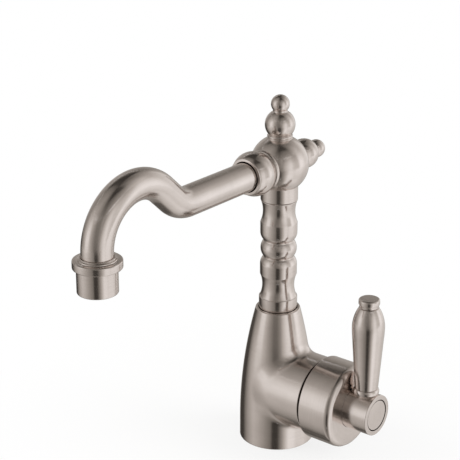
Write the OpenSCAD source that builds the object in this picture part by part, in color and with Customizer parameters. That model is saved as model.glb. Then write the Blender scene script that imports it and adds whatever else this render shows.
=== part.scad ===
// Basin mixer tap with a swan-neck spout, a turned column and a side lever.
// Millimetres. The origin is the centre of the body's base on the deck, +Z is up,
// the spout points along -Y and the cartridge barrel along +X.

/* [Body] */
// Diameter of the foot on the deck
foot_d = 50; // [48:0.5:54]
// Height of the foot's straight part
foot_h = 14; // [8:1:18]
// Height of the body up to the column
body_h = 96; // [94:1:106]
// Diameter of the body at its top
body_top_d = 28.8; // [28.4:0.2:32]
// Height of the recess for the hoses under the body
recess_h = 9; // [6:0.5:11]
// Wall of the foot round the recess
foot_wall = 4.5; // [4:0.25:6]
// Radius of the blend between barrel and body, above the barrel
blend_top_r = 10; // [5:1:13]
// Radius of the same blend below the barrel
blend_bottom_r = 4; // [3:0.5:6]

/* [Supply and fixing] */
// Drill of the two hose threads
inlet_d = 9; // [8:0.5:9.5]
// Distance between the two hose threads
inlet_spacing = 17; // [15:0.5:18]
// Length of the hose threads
inlet_len = 12; // [9:1:14]
// Distance of the hose threads from the axis, towards the barrel
inlet_x = 2; // [0:0.5:3]
// Diameter of the fixing stud's threaded hole
stud_hole_d = 8; // [6:1:8]
// Depth of the fixing stud's hole
stud_hole_len = 20; // [12:1:24]
// Distance of the fixing stud from the axis, away from the barrel
stud_hole_x = 13; // [12:0.5:14]

/* [Barrel] */
// Height of the barrel's axis above the deck
barrel_z = 40; // [38:0.5:44]
// Diameter of the barrel
barrel_d = 51.6; // [50:0.4:52]
// Distance from the tap's axis to the seam between barrel and cap
seam_x = 38.2; // [37:0.2:40]
// Width of the seam between barrel and cap
seam_w = 0.8; // [0.6:0.1:1.2]
// Thread diameter of the cartridge nut
nut_d = 43.4; // [42.6:0.2:44]

/* [Column] */
// Diameter of the plain length above the body
column_d = 25.4; // [24.4:0.2:25.6]
// Height of that plain length
column_plain_h = 7; // [5:0.5:12]
// Diameter of the bands
band_d = 24.3; // [23:0.1:24.6]
// Height of a band
band_h = 6.6; // [4:0.2:9]
// Diameter of the waists
waist_d = 21.1; // [19:0.1:22.5]
// Height of a waist
waist_h = 16; // [12:0.5:20]
// Height of the shoulder between a band and the bead
shoulder_h = 5.6; // [4:0.2:7]
// Diameter of the grooves beside the bead
groove_d = 19.4; // [18.4:0.2:21]
// Diameter of the middle bead
bead_d = 23.8; // [22.5:0.1:24.6]
// Height of the middle bead
bead_h = 11.4; // [9:0.2:13]
// Diameter of the column's spigot in the body
spigot_d = 20; // [19:0.2:20.4]
// Wall between the column's socket and the cartridge's chamber
socket_wall = 4.05; // [3:0.05:6]
// Waterway through the column
column_bore = 14; // [10:0.5:14.4]

/* [Hub and finials] */
// Diameter of the ball hub
hub_ball_d = 37.8; // [36:0.2:40]
// Height of the hub's centre above the column
hub_rise = 24; // [23:0.25:26]
// Wall of the hub
hub_wall = 4.4; // [3:0.2:5.5]
// Diameter of a finial's bead
finial_bead_d = 19.6; // [18:0.2:20.4]
// Diameter of a finial's end ball
finial_ball_d = 12; // [10:0.2:13]
// Diameter of a finial's seat ring
finial_seat_d = 16.6; // [15.6:0.2:17.4]
// Diameter of a finial's stud
finial_stud_d = 7; // [5:0.5:8]

/* [Spout] */
// Distance from the tap's axis to the outlet's axis
spout_reach = 170; // [150:1:190]
// Diameter of the spout's tube
tube_d = 19; // [18:0.2:19.2]
// Wall of the spout's tube
tube_wall = 1.5; // [1:0.1:2]
// Radius of the bend where the spout starts to rise
dip_r = 21.6; // [18:0.4:30]
// Angle of the rise
rise_angle = 42.7; // [35:0.5:50]
// Straight length of the rise
rise_len = 12; // [6:0.5:18]
// Radius of the arch
arch_r = 33; // [28:0.5:38]
// Straight drop below the arch
drop_len = 6.2; // [5:0.2:20]
// Largest diameter of the union collar
collar_d = 28.8; // [27.6:0.2:31]
// Length of the union collar
collar_len = 18.5; // [16:0.5:22]

/* [Nozzle] */
// Diameter of the nozzle's flange
flange_d = 29.8; // [27:0.2:33]
// Height of the nozzle's flange
flange_h = 4.4; // [3:0.2:6]
// Diameter of the aerator's housing
aerator_d = 24.4; // [24:0.1:26]
// Height of the aerator's housing
aerator_h = 14.2; // [13:0.2:20]
// Width of a hole in the flow straightener
straightener_hole = 1.5; // [0.8:0.1:1.7]

/* [Cartridge] */
// Diameter of the cartridge
cartridge_d = 39.8; // [39:0.2:40.4]
// Distance from the tap's axis to the cartridge's seat
cartridge_x = 10; // [9:0.25:10.5]
// Width of the stem's square
stem_w = 8; // [6:0.5:8.5]
// Diameter of the rotor's neck
rotor_d = 23; // [22:0.2:24]
// Distance from the tap's axis to the pivot pin
pivot_x = 33; // [32.7:0.1:33.5]
// Diameter of the pivot pin
pin_d = 3; // [2:0.25:3.5]
// Tilt of the handle when fully open
lift_max = 22; // [15:1:24]

/* [Handle] */
// Diameter of the handle's cap
cap_d = 55.6; // [55:0.2:58]
// Depth of the cap from rim to face
cap_depth = 24.1; // [23:0.1:28]
// Wall of the cap's skirt
cap_wall = 1.6; // [1.2:0.1:1.8]
// Wall of the cap's face
cap_face_wall = 3; // [2:0.25:4]
// Rounding of the cap's edge
cap_edge_r = 4.2; // [3:0.2:6]
// Diameter of the handle's hub
hub_d = 27; // [25:0.5:30]
// Length of the hub in front of the cap
hub_len = 17.9; // [17:0.1:24]
// Diameter of the disc in the hub's end
end_disc_d = 19.4; // [14:0.2:21]
// Distance from the cap's face to the lever's axis
lever_offset = 9.6; // [9:0.1:10]

/* [Lever] */
// Height of the lever's top above the barrel's axis
lever_h = 80; // [70:1:100]
// Largest diameter of the grip
grip_d = 21.1; // [19:0.2:24]
// Diameter of the grip at its foot
grip_foot_d = 15.5; // [14:0.2:16.4]
// Length of the grip's round shoulder
grip_shoulder_h = 14.4; // [10:0.4:20]
// Diameter of the ferrule
ferrule_d = 16.9; // [16.4:0.1:19]
// Height of the ferrule's bead
ferrule_h = 4.8; // [3:0.2:7]
// Diameter of the end button
button_d = 13.7; // [12.8:0.1:16]
// Height of the end button
button_h = 5.6; // [4.6:0.2:8]
// Diameter of the stud through the lever
lever_stud_d = 6; // [4:0.5:7]

/* [Fits] */
// Radial clearance of a shaft that turns in its hole
run_gap = 0.05; // [0.02:0.01:0.09]
// Clearance between pieces that are screwed or pressed together
seat_gap = 0.05; // [0.02:0.01:0.09]
// Clearance of loose moving pieces
free_gap = 0.3; // [0.2:0.05:0.4]

/* [Hidden] */

$fn = 96;
nickel = "#b5ada4";
brass = "#c9a75a";
plastic = "#e9e7e0";
rubber = "#2b2b2b";
ceramic = "#f4f2ec";
steel = "#9aa0a3";

// Body
foot_r = foot_d / 2;
body_top_r = body_top_d / 2;
body_rise = body_h - foot_h;
body_inset = foot_r - body_top_r;
body_curve_r = (body_rise * body_rise + body_inset * body_inset) / (2 * body_inset);
barrel_r = barrel_d / 2;
barrel_end_x = seam_x - seam_w / 2;
blend_inset = 0.2;
blend_per_radius = 1.17;
blend_start_x = -6;
blend_neck_x = 20;
blend_neck_drop = 10.8;
blend_end_x = foot_r + 8;
blend_rays = 48;
blend_sections = 14;
edge_soft = 0.5;
gasket_w = 1.8;
gasket_h = 1.6;
gasket_r = foot_r - foot_wall / 2;

// Cartridge, along the barrel from its seat
base_t = 4;
disc_t = 3.2;
disc_film = 0.03;
carrier_t = 4.8;
rotor_flange_t = 2.6;
shoulder_t = 1.9;
cartridge_r = cartridge_d / 2;
chamber_r = cartridge_r + seat_gap;
cavity_r = cartridge_r - 2.7;
fixed_x = cartridge_x + base_t;
sliding_x = fixed_x + disc_t + disc_film;
carrier_x = sliding_x + disc_t;
rotor_x = carrier_x + carrier_t + free_gap;
shoulder_x = rotor_x + rotor_flange_t + free_gap;
neck_x = shoulder_x + shoulder_t;
neck_len = 10.5;
neck_wall = 2;
rotor_r = rotor_d / 2;
neck_bore_r = rotor_r + run_gap;
neck_r = neck_bore_r + neck_wall;
rotor_flange_r = cavity_r - 0.7;
rotor_end_x = neck_x + neck_len + 1;
nut_r = nut_d / 2;
nut_flat_w = nut_d - 6;
nut_end_x = barrel_end_x + 5.7;
port_d = 6.4;
outlet_port_d = 8;
inlet_port_z = barrel_z - 4;
outlet_port_z = barrel_z + 6;
inlet_y = inlet_spacing / 2;
seal_t = 1.2;
seal_w = 1.5;
sliding_r = cavity_r - 4.65;
sliding_rest = -2.1;
pocket_t = disc_t / 2;
pocket_r = 0.65 * outlet_port_d;
pocket_rise = 1;
inlet_slot_w = 0.765 * inlet_spacing;
inlet_slot_h = 0.47 * port_d;
inlet_slot_z = -inlet_spacing / 2;
link_w = 0.78 * port_d;
link_h = pocket_rise - inlet_slot_z - inlet_slot_h - pocket_r / 2;
carrier_flat = sliding_r - 1.65;
arm_r = 1.7;
ball_r = 2.4;
ball_gap = 0.15;
ball_x = carrier_x + 0.3 + ball_gap + ball_r;
arm_len = pivot_x - ball_x;
pivot_hub_r = 4.6;
stem_end_x = seam_x + seam_w / 2 + cap_depth - 2.7;
stem_bore_d = 5;
stem_bore_len = 10;

// Handle
cap_r = cap_d / 2;
cap_rim_x = seam_x + seam_w / 2;
cap_face_x = cap_rim_x + cap_depth;
cap_bore_r = cap_r - cap_wall;
hub_r = hub_d / 2;
hub_end_x = cap_face_x + hub_len;
hub_boss_r = 8.8;
hub_boss_len = 8.2;
end_disc_t = 3;
screw_d = stem_bore_d - 2 * seat_gap;
screw_head_r = 4.4;
screw_head_t = 4.6;
screw_seat_x = cap_face_x + 7.8;
lever_x = cap_face_x + lever_offset;
lever_top_z = barrel_z + lever_h;
ferrule_z = barrel_z + hub_r - 0.7;
ferrule_top_z = ferrule_z + ferrule_h + 0.2;
button_z = lever_top_z - button_h;
grip_wide_z = button_z - grip_shoulder_h;
lever_stud_r = lever_stud_d / 2;
lever_stud_z = barrel_z + screw_head_r + 2.3;
lever_stud_top_z = button_z + 3;

// Column, from the body's top
spigot_r = spigot_d / 2;
column_r = column_d / 2;
column_bore_r = column_bore / 2;
bush_wall = 1.2;
bush_bore_r = spigot_r + run_gap;
bush_r = bush_bore_r + bush_wall;
socket_r = bush_r + seat_gap;
column_sink = 4;
column_foot_z = body_h - column_sink;
bush_flange_t = 1.2;
bush_flange_z = column_foot_z - bush_flange_t;
rim_gap = 0.25;
socket_z = barrel_z + chamber_r + socket_wall;
spigot_len = column_foot_z - socket_z;
lower_bush_h = 0.215 * spigot_len;
upper_bush_h = 0.18 * spigot_len;
ring_groove_r = spigot_r - 1.1;
ring_r = (socket_r - run_gap - ring_groove_r - seat_gap) / 2;
ring_groove_w = 2 * ring_r + 0.4;
ring_zs = [socket_z + 0.332 * spigot_len, socket_z + 0.486 * spigot_len];
lock_z = socket_z + 0.664 * spigot_len;
lock_groove_w = 3.4;
lock_groove_r = spigot_r - 1.2;
lock_dog_r = 1.4;
lock_thread_r = 2.5;
waist_1_z = body_h + column_plain_h;
band_1_z = waist_1_z + waist_h;
shoulder_1_z = band_1_z + band_h;
bead_z = shoulder_1_z + shoulder_h;
shoulder_2_z = bead_z + bead_h;
band_2_z = shoulder_2_z + shoulder_h;
waist_2_z = band_2_z + band_h;
column_top_z = waist_2_z + waist_h;
tenon_r = spigot_r - 0.6;
tenon_len = 8;

// Hub and finials
hub_z = column_top_z + hub_rise;
hub_ball_r = hub_ball_d / 2;
hub_cavity_r = hub_ball_r - hub_wall;
boss_r = collar_d / 2 - 1.1;
boss_s = hub_ball_r - 1.1;
nipple_r = boss_r - 2.3;
nipple_len = 9.2;
finial_bead_r = finial_bead_d / 2;
finial_ball_r = finial_ball_d / 2;
finial_seat_r = finial_seat_d / 2;
finial_seat_s = hub_ball_r + 0.1;
finial_groove_s = finial_seat_s + 0.4;
finial_groove_r = finial_seat_r - 1.2;
finial_bead_s = finial_groove_s
    + sqrt(finial_bead_r * finial_bead_r - finial_groove_r * finial_groove_r);
finial_neck_r = 4.8;
finial_neck_s = finial_bead_s
    + sqrt(finial_bead_r * finial_bead_r - finial_neck_r * finial_neck_r);
finial_neck_len = 1.3;
finial_ball_s = finial_neck_s + finial_neck_len
    + sqrt(finial_ball_r * finial_ball_r - finial_neck_r * finial_neck_r);
finial_stud_len = 6;

// Spout, as distances along -Y from the tap's axis
tube_r = tube_d / 2;
tube_bore_r = tube_r - tube_wall;
collar_s = boss_s + 0.3;
collar_end_s = collar_s + collar_len;
seal_s = boss_s + nipple_len;
union_seal_t = 1.2;
tube_s = seal_s + union_seal_t;
tube_flange_t = 2;
tube_flange_r = nipple_r - 0.1;
collar_shoulder_s = tube_s + tube_flange_t;
collar_back_r = boss_r - 0.3;
collar_lip_r = collar_d / 2 - 2.1;
dip_s = spout_reach - arch_r * (1 + sin(rise_angle)) - rise_len * cos(rise_angle)
    - dip_r * sin(rise_angle);
rise_s = dip_s + dip_r * sin(rise_angle);
rise_z = hub_z + dip_r * (1 - cos(rise_angle));
arch_s = spout_reach - arch_r;
arch_z = rise_z + rise_len * sin(rise_angle) - arch_r * cos(rise_angle);
tube_sides = 36;
dip_steps = 7;
arch_steps = 20;

// Nozzle, from the tube's end
tube_end_z = arch_z - drop_len;
flange_z = tube_end_z - 1.7;
flange_step_h = 1.6;
flange_step_r = tube_r + 1.9;
socket_top_z = flange_z + flange_h + flange_step_h + 1;
nozzle_thread_len = 8.2;
nozzle_thread_r = aerator_d / 2 - 1.6;
nozzle_bore_r = tube_bore_r + 0.5;
nozzle_z = flange_z - 0.2 - aerator_h;
aerator_r = aerator_d / 2;
aerator_bore_r = nozzle_thread_r + seat_gap;
aerator_lip_h = 1.8;
aerator_lip_r = aerator_bore_r - 1.4;
washer_t = 1.4;
washer_z = flange_z - nozzle_thread_len - washer_t;
insert_z = nozzle_z + 0.6;
insert_r = aerator_lip_r - 0.15;
straightener_pitch = straightener_hole + 0.55;
screen_r = nozzle_bore_r - 1;
screen_t = 0.7;

// Points on the arc from p to q that bows by s to the right of its way
function bow(p, q, s, n = 8) =
    let (
        d = q - p,
        c = norm(d),
        r = (c * c / 4 + s * s) / (2 * s),
        o = (p + q) / 2 + [d[1], -d[0]] / c * (s - r),
        a = atan2(p[1] - o[1], p[0] - o[0]),
        half = asin(c / 2 / r)
    )
    [for (i = [0:n]) o + abs(r) * [cos(a + 2 * half * i / n), sin(a + 2 * half * i / n)]];

// Bow of an arc that leaves p along the axis and ends at q
function tangent_bow(p, q) = norm(q - p) / 2 * tan(atan2(abs(p[0] - q[0]), abs(q[1] - p[1])) / 2);

// Radius of the body at height z
function body_r(z) = z < foot_h ? foot_r
    : foot_r - body_curve_r + sqrt(body_curve_r * body_curve_r - (z - foot_h) * (z - foot_h));

// Smallest of two distances, rounded over a width k
function soft_min(a, b, k) =
    let (h = max(k - abs(a - b), 0) / k) min(a, b) - h * h * k / 4;

// Radius of the barrel at x, drawn in towards its root
function root_r(x) = x > blend_neck_x ? barrel_r
    : barrel_r - blend_neck_drop * pow((blend_neck_x - x) / (blend_neck_x - blend_start_x), 3);

// Width of the blend at angle a round the barrel
function blend_k(a) =
    blend_per_radius / 2
    * (blend_top_r + blend_bottom_r + (blend_top_r - blend_bottom_r) * sin(a));

// Distance outside the blended body at x, on the ray at angle a and radius t from the barrel's axis
function outside(x, a, t) = soft_min(t - root_r(x),
    norm([x, t * cos(a)]) - body_r(min(max(barrel_z + t * sin(a), 0), body_h)), blend_k(a));

// Radius of the blended skin on that ray, by halving
function skin_t(x, a, low, high, n = 16) =
    let (mid = (low + high) / 2)
    n == 0 ? mid
    : outside(x, a, mid) < -blend_inset ? skin_t(x, a, mid, high, n - 1)
    : skin_t(x, a, low, mid, n - 1);

// Longest ray that stays between the recess and the body's top
function ray_end(a) = sin(a) > 0 ? min(barrel_r * 1.6, (body_h - 3 - barrel_z) / sin(a))
    : sin(a) < 0 ? min(barrel_r * 1.6, (barrel_z - 3) / -sin(a)) : barrel_r * 1.6;

// Cylinder along +X from x, on the barrel's axis
module along_x(x, len, r) {
    translate([x, 0, barrel_z]) rotate([0, 90, 0]) cylinder(r = r, h = len);
}

// Ring along +X on the barrel's axis
module ring_x(x, len, outer, inner) {
    difference() {
        along_x(x, len, outer);
        along_x(x - 1, len + 2, inner);
    }
}

// Ring along +Z
module ring_z(z, len, outer, inner) {
    translate([0, 0, z]) difference() {
        cylinder(r = outer, h = len);
        translate([0, 0, -1]) cylinder(r = inner, h = len + 2);
    }
}

// Turning on the spout's axis: x is the radius, y the distance from the tap's axis
module turn_y(points) {
    translate([0, 0, hub_z]) rotate([90, 0, 0]) rotate_extrude() polygon(points);
}

// Places a child on the nozzle's axis
module at_nozzle() {
    translate([0, -spout_reach, 0]) children();
}

// Loft from the body's flank to the round barrel
module barrel_blend() {
    xs = [for (i = [0:blend_sections])
        blend_start_x + (blend_end_x - blend_start_x) * pow(i / blend_sections, 0.8)];
    points = [for (x = xs) for (i = [0:blend_rays - 1])
        let (a = 360 * i / blend_rays, t = skin_t(x, a, 0, ray_end(a)))
        [x, t * cos(a), barrel_z + t * sin(a)]];
    sides = [for (j = [0:blend_sections - 1]) for (i = [0:blend_rays - 1])
        let (n = (i + 1) % blend_rays, b = j * blend_rays, c = b + blend_rays)
        each [[b + i, c + n, b + n], [b + i, c + i, c + n]]];
    last = blend_sections * blend_rays;
    start_cap = [for (i = [0:blend_rays - 1]) i];
    end_cap = [for (i = [blend_rays - 1:-1:0]) last + i];
    polyhedron(points, concat(sides, [start_cap, end_cap]));
}

module mixer_body() {
    shell = concat([[0, 0], [foot_r - edge_soft, 0], [foot_r, edge_soft], [foot_r, foot_h]],
        [for (i = [1:11]) let (z = foot_h + (body_rise - 1) * i / 11) [body_r(z), z]],
        [[body_r(body_h) - edge_soft, body_h], [0, body_h]]);
    color(nickel) difference() {
        union() {
            rotate_extrude() polygon(shell);
            along_x(blend_neck_x, barrel_end_x - blend_neck_x, barrel_r);
            barrel_blend();
        }
        // Socket of the column
        translate([0, 0, socket_z]) cylinder(r = socket_r, h = body_h);
        translate([0, 0, bush_flange_z]) cylinder(r = column_r + rim_gap, h = body_h);
        translate([0, 0, lock_z]) rotate([-90, 0, 0])
            cylinder(r = lock_thread_r + seat_gap, h = foot_r, $fn = 32);
        // Chamber of the cartridge and thread of its nut
        along_x(cartridge_x, barrel_r * 2, chamber_r);
        along_x(neck_x - 0.5, barrel_r * 2, nut_r + seat_gap);
        // Recess under the foot, with the gasket's groove
        translate([0, 0, -1]) cylinder(r = foot_r - foot_wall, h = recess_h + 1);
        ring_z(-1, gasket_h + 1, gasket_r + gasket_w / 2 + seat_gap,
            gasket_r - gasket_w / 2 - seat_gap);
        // Hose threads and their ways to the cartridge
        for (side = [-1, 1]) {
            translate([inlet_x, side * inlet_y, recess_h - 1])
                cylinder(d = inlet_d, h = inlet_len + 1, $fn = 48);
            translate([inlet_x, side * inlet_y, recess_h])
                cylinder(d = port_d, h = inlet_port_z - recess_h + port_d / 2, $fn = 48);
            translate([inlet_x, side * inlet_y, inlet_port_z]) rotate([0, 90, 0])
                cylinder(d = port_d - 0.4, h = cartridge_x, $fn = 48);
        }
        translate([-stud_hole_x, 0, recess_h - 1])
            cylinder(d = stud_hole_d, h = stud_hole_len + 1, $fn = 48);
        // Way from the cartridge up to the column
        translate([0, 0, outlet_port_z]) rotate([0, 90, 0])
            cylinder(d = outlet_port_d, h = cartridge_x + 1, $fn = 48);
        translate([0, 0, outlet_port_z - outlet_port_d / 2]) cylinder(r = 6, h = socket_z);
    }
}

module base_gasket() {
    color(rubber) ring_z(0, gasket_h, gasket_r + gasket_w / 2, gasket_r - gasket_w / 2);
}

module spout_bush_lower() {
    color(plastic) ring_z(socket_z, lower_bush_h, bush_r, bush_bore_r);
}

module spout_bush_upper() {
    color(plastic) union() {
        ring_z(bush_flange_z - upper_bush_h, upper_bush_h + bush_flange_t, bush_r, bush_bore_r);
        ring_z(bush_flange_z, bush_flange_t, column_r, bush_bore_r);
    }
}

// Set screw whose dog keeps the spigot down and lets it turn
module spout_lock_screw() {
    outer_y = body_r(lock_z) - 1;
    thread_y = bush_r + 0.6;
    color(steel) translate([0, 0, lock_z]) rotate([-90, 0, 0]) difference() {
        union() {
            translate([0, 0, thread_y])
                cylinder(r = lock_thread_r, h = outer_y - thread_y, $fn = 32);
            translate([0, 0, lock_groove_r + free_gap])
                cylinder(r = lock_dog_r, h = thread_y - lock_groove_r, $fn = 32);
        }
        translate([0, 0, outer_y - 2.2]) cylinder(d = 2.9, h = 3, $fn = 6);
    }
}

// Holes of the two inlets and the outlet, as the seat has them
module ports(x, len) {
    for (side = [-1, 1])
        translate([x, side * inlet_y, inlet_port_z]) rotate([0, 90, 0])
            cylinder(d = port_d, h = len, $fn = 48);
    translate([x, 0, outlet_port_z]) rotate([0, 90, 0])
        cylinder(d = outlet_port_d, h = len, $fn = 48);
}

// A child at each of the three ports, given the port's diameter
module port_rings(x, len, grow, shrink) {
    for (p = [[-inlet_y, inlet_port_z, port_d], [inlet_y, inlet_port_z, port_d],
            [0, outlet_port_z, outlet_port_d]])
        translate([x, p[0], p[1]]) rotate([0, 90, 0]) difference() {
            cylinder(d = p[2] + grow, h = len, $fn = 48);
            translate([0, 0, -1]) cylinder(d = p[2] + shrink, h = len + 2, $fn = 48);
        }
}

module cartridge_base() {
    color(plastic) difference() {
        along_x(cartridge_x, base_t, cartridge_r);
        ports(cartridge_x - 1, base_t + 2);
        port_rings(cartridge_x - 1, seal_t + 1, 2 * (seal_w + seat_gap), -1);
    }
}

module cartridge_seals() {
    color(rubber) port_rings(cartridge_x, seal_t, 2 * seal_w, 0);
}

module fixed_disc() {
    color(ceramic) difference() {
        along_x(fixed_x, disc_t, cavity_r - seat_gap);
        ports(fixed_x - 1, disc_t + 2);
    }
}

module cartridge_housing() {
    color(plastic) difference() {
        union() {
            along_x(fixed_x, neck_x - fixed_x, cartridge_r);
            along_x(neck_x - 1, neck_len + 1, neck_r);
        }
        along_x(fixed_x - 1, shoulder_x - fixed_x + 1, cavity_r);
        along_x(shoulder_x - 1, neck_len * 2, neck_bore_r);
    }
}

// Threaded ring with a hexagon under the cap
module cartridge_nut() {
    color(brass) difference() {
        union() {
            along_x(neck_x, barrel_end_x + 0.6 - neck_x, nut_r);
            translate([barrel_end_x, 0, barrel_z]) rotate([0, 90, 0])
                cylinder(d = nut_flat_w / cos(30), h = nut_end_x - barrel_end_x, $fn = 6);
        }
        along_x(neck_x - 1, nut_end_x, neck_r + seat_gap);
    }
}

module turned_column() {
    waist_bow = (band_d - waist_d) / 2;
    band_r = band_d / 2;
    groove_r = groove_d / 2;
    ring_grooves = [for (z = ring_zs)
        each [[spigot_r, z - ring_groove_w / 2], [ring_groove_r, z - ring_groove_w / 2],
            [ring_groove_r, z + ring_groove_w / 2], [spigot_r, z + ring_groove_w / 2]]];
    lock_groove = [[spigot_r, lock_z - lock_groove_w / 2],
        [lock_groove_r, lock_z - lock_groove_w / 2],
        [lock_groove_r, lock_z + lock_groove_w / 2], [spigot_r, lock_z + lock_groove_w / 2]];
    profile = concat(
        [[column_bore_r, socket_z + free_gap], [spigot_r, socket_z + free_gap]],
        ring_grooves, lock_groove,
        [[spigot_r, column_foot_z], [column_r, column_foot_z], [column_r, waist_1_z]],
        bow([band_r, waist_1_z], [band_r, band_1_z], -waist_bow),
        bow([band_r, shoulder_1_z], [groove_r, bead_z],
            tangent_bow([band_r, shoulder_1_z], [groove_r, bead_z])),
        bow([groove_r, bead_z], [groove_r, shoulder_2_z], (bead_d - groove_d) / 2, 12),
        bow([groove_r, shoulder_2_z], [band_r, band_2_z],
            tangent_bow([groove_r, shoulder_2_z], [band_r, band_2_z])),
        bow([band_r, waist_2_z], [band_r, column_top_z], -waist_bow),
        [[tenon_r, column_top_z], [tenon_r, column_top_z + tenon_len],
            [column_bore_r, column_top_z + tenon_len]]);
    color(nickel) rotate_extrude() polygon(profile);
}

module spigot_o_rings() {
    color(rubber) for (z = ring_zs)
        translate([0, 0, z]) rotate_extrude()
            translate([ring_groove_r + seat_gap + ring_r, 0]) circle(r = ring_r, $fn = 32);
}

// Hollow ball with a socket below, a nipple for the spout and two finial threads
module ball_hub() {
    color(nickel) translate([0, 0, hub_z]) difference() {
        union() {
            sphere(r = hub_ball_r);
            translate([0, 0, -hub_rise]) cylinder(r = band_d / 2, h = hub_rise - hub_cavity_r / 2);
            rotate([90, 0, 0]) cylinder(r = boss_r, h = boss_s);
            rotate([90, 0, 0]) cylinder(r = nipple_r, h = boss_s + nipple_len);
        }
        sphere(r = hub_cavity_r);
        translate([0, 0, -hub_rise - 1]) cylinder(r = tenon_r + seat_gap, h = tenon_len + 1);
        translate([0, 0, -hub_rise]) cylinder(r = column_bore_r, h = hub_rise);
        rotate([90, 0, 0]) cylinder(r = tube_bore_r, h = hub_ball_r * 2);
        cylinder(d = finial_stud_d + 2 * seat_gap, h = hub_ball_r + 1, $fn = 48);
        rotate([-90, 0, 0])
            cylinder(d = finial_stud_d + 2 * seat_gap, h = hub_ball_r + 1, $fn = 48);
    }
}

// Turned ornament on +Z, measured from the hub's centre
module finial() {
    bead_start = acos(finial_groove_r / finial_bead_r);
    bead_end = acos(finial_neck_r / finial_bead_r);
    ball_start = acos(finial_neck_r / finial_ball_r);
    bead = [for (i = [0:16])
        let (a = -bead_start + (bead_start + bead_end) * i / 16)
        [finial_bead_r * cos(a), finial_bead_s + finial_bead_r * sin(a)]];
    ball = [for (i = [0:14])
        let (a = -ball_start + (ball_start + 90) * i / 14)
        [finial_ball_r * cos(a), finial_ball_s + finial_ball_r * sin(a)]];
    base_s = hub_ball_r - finial_stud_len;
    profile = concat([[0, base_s], [finial_stud_d / 2, base_s],
            [finial_stud_d / 2, hub_ball_r - 1], [finial_seat_r - 0.6, hub_ball_r - 4]],
        bow([finial_seat_r, finial_seat_s - 1.6], [finial_seat_r - 0.2, finial_seat_s], 0.2, 4),
        bead,
        bow([finial_neck_r, finial_neck_s], [finial_neck_r, finial_neck_s + finial_neck_len],
            0.4, 4),
        ball);
    difference() {
        rotate_extrude() polygon(profile);
        difference() {
            sphere(r = hub_ball_r + seat_gap);
            cylinder(d = finial_stud_d, h = hub_ball_r * 2);
        }
    }
}

module top_finial() {
    color(nickel) translate([0, 0, hub_z]) finial();
}

module rear_finial() {
    color(nickel) translate([0, 0, hub_z]) rotate([-90, 0, 0]) finial();
}

// Union nut that draws the tube's flange against the nipple
module spout_collar() {
    lip_s = collar_end_s - 1.2;
    color(nickel) turn_y(concat(
        [[nipple_r + seat_gap, collar_s]],
        bow([collar_back_r, collar_s], [collar_lip_r, lip_s],
            (collar_d - collar_back_r - collar_lip_r) / 2, 12),
        [[collar_lip_r + 0.25, lip_s + 0.2], [collar_lip_r + 0.25, collar_end_s - 0.3],
            [collar_lip_r, collar_end_s], [collar_lip_r - 1.3, collar_end_s],
            [collar_lip_r - 1.5, collar_end_s - 1.7], [tube_r + seat_gap, collar_end_s - 1.7],
            [tube_r + seat_gap, collar_shoulder_s],
            [nipple_r + seat_gap, collar_shoulder_s]]));
}

module union_seal() {
    color(rubber) turn_y([[tube_bore_r, seal_s], [tube_flange_r, seal_s],
        [tube_flange_r, tube_s], [tube_bore_r, tube_s]]);
}

// Tube swept along the spout's centre line: a station is [distance, height, climb angle]
module spout_tube() {
    dip = [for (i = [0:dip_steps]) let (d = rise_angle * i / dip_steps)
        [dip_s + dip_r * sin(d), hub_z + dip_r * (1 - cos(d)), d]];
    arch = [for (i = [0:arch_steps]) let (d = rise_angle - (rise_angle + 90) * i / arch_steps)
        [arch_s - arch_r * sin(d), arch_z + arch_r * cos(d), d]];
    start = [tube_s, hub_z, 0];
    way = concat([[tube_s + tube_flange_t, hub_z, 0]], dip, arch,
        [[spout_reach, tube_end_z, -90]]);
    // Out along the outside, with the flange, and back along the bore
    rings = concat([[start, tube_flange_r], [way[0], tube_flange_r]],
        [for (p = way) [p, tube_r]],
        [for (i = [len(way) - 1:-1:0]) [way[i], tube_bore_r]], [[start, tube_bore_r]]);
    points = [for (q = rings) for (j = [0:tube_sides - 1])
        let (p = q[0], a = 360 * j / tube_sides)
        [q[1] * sin(a), q[1] * cos(a) * sin(p[2]) - p[0], p[1] + q[1] * cos(a) * cos(p[2])]];
    faces = [for (i = [0:len(rings) - 1]) for (j = [0:tube_sides - 1])
        let (b = i * tube_sides, c = (i + 1) % len(rings) * tube_sides,
            n = (j + 1) % tube_sides)
        each [[b + j, b + n, c + n], [b + j, c + n, c + j]]];
    color(nickel) polyhedron(points, faces);
}

// Flange brazed to the tube's end, with the aerator's thread below
module nozzle_flange() {
    r = flange_d / 2;
    top = flange_z + flange_h;
    soft = 0.9;
    thread_z = flange_z - nozzle_thread_len;
    profile = concat(
        [[nozzle_bore_r, thread_z], [nozzle_thread_r, thread_z], [nozzle_thread_r, flange_z],
            [r - soft, flange_z], [r, flange_z + soft]],
        bow([r, top - soft], [r - soft, top], soft * 0.29, 4),
        [[flange_step_r, top]],
        bow([flange_step_r, top + flange_step_h - 0.5],
            [flange_step_r - 0.5, top + flange_step_h], 0.15, 4),
        [[tube_r + 1, top + flange_step_h], [tube_r + 0.6, socket_top_z],
            [tube_r + seat_gap, socket_top_z], [tube_r + seat_gap, tube_end_z],
            [nozzle_bore_r, tube_end_z]]);
    color(nickel) at_nozzle() rotate_extrude() polygon(profile);
}

module aerator_washer() {
    color(rubber) at_nozzle()
        ring_z(washer_z, washer_t, aerator_bore_r - 0.2, nozzle_bore_r - 0.9);
}

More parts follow.
